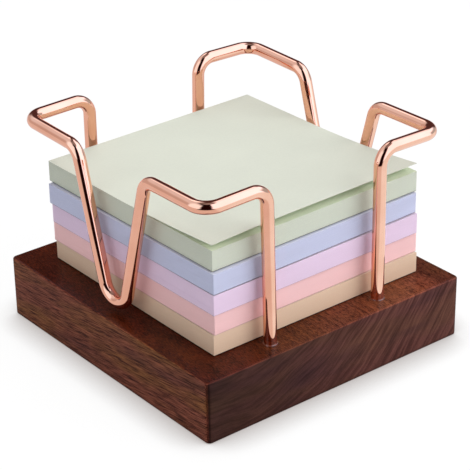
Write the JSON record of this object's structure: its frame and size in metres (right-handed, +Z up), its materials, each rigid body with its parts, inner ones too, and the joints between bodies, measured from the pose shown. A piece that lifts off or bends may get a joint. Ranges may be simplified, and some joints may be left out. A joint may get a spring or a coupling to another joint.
{
  "type": "sticky note holder",
  "caption": "Desk holder for sticky notes: a square wood block with bent wire corner loops that cage a stack of coloured note pads.",
  "frame": {"origin": "middle of the block's underside, where it rests on the desk", "axes": "+Z up, -Y the front, where the top note's free edge is, and the wires' V bends at -X and +X"},
  "size_m": [0.094, 0.0962, 0.0689],
  "materials": {
    "walnut": "satin lacquer over dark straight grain",
    "rose_gold": "polished rose gold plating",
    "paper_tan": "matte pastel note paper",
    "paper_pink": "matte pastel note paper",
    "paper_lilac": "matte pastel note paper",
    "paper_blue": "matte pastel note paper",
    "paper_green": "matte pastel note paper",
    "backing_card": "thin matte dark card, toned to its pad",
    "top_paper": "matte pale note paper"
  },
  "bodies": {
    "holder": {"base_block": "walnut", "wire_left": "rose_gold", "wire_right": "rose_gold"},
    "pad_tan": {"backing_tan": "backing_card", "notes_tan": "paper_tan"},
    "pad_pink": {"backing_pink": "backing_card", "notes_pink": "paper_pink"},
    "pad_lilac": {"backing_lilac": "backing_card", "notes_lilac": "paper_lilac"},
    "pad_blue": {"backing_blue": "backing_card", "notes_blue": "paper_blue"},
    "pad_green": {"backing_green": "backing_card", "notes_green": "paper_green"},
    "top_note": {"top_note": "top_paper"}
  },
  "joints": [
    {"name": "lift_tan", "type": "slide", "parent": "holder", "child": "pad_tan", "axis": [0, 0, 1], "range_m": [0, 0.0527]},
    {"name": "lift_pink", "type": "slide", "parent": "pad_tan", "child": "pad_pink", "axis": [0, 0, 1], "range_m": [0, 0.0462]},
    {"name": "lift_lilac", "type": "slide", "parent": "pad_pink", "child": "pad_lilac", "axis": [0, 0, 1], "range_m": [0, 0.0397]},
    {"name": "lift_blue", "type": "slide", "parent": "pad_lilac", "child": "pad_blue", "axis": [0, 0, 1], "range_m": [0, 0.0332]},
    {"name": "lift_green", "type": "slide", "parent": "pad_blue", "child": "pad_green", "axis": [0, 0, 1], "range_m": [0, 0.0267]},
    {"name": "peel_top_note", "type": "hinge", "parent": "pad_green", "child": "top_note", "pos_m": [0.00009, 0.0386, 0.0518], "axis": [-0.9999, -0.0157, 0], "range_deg": [0, 75]}
  ]
}
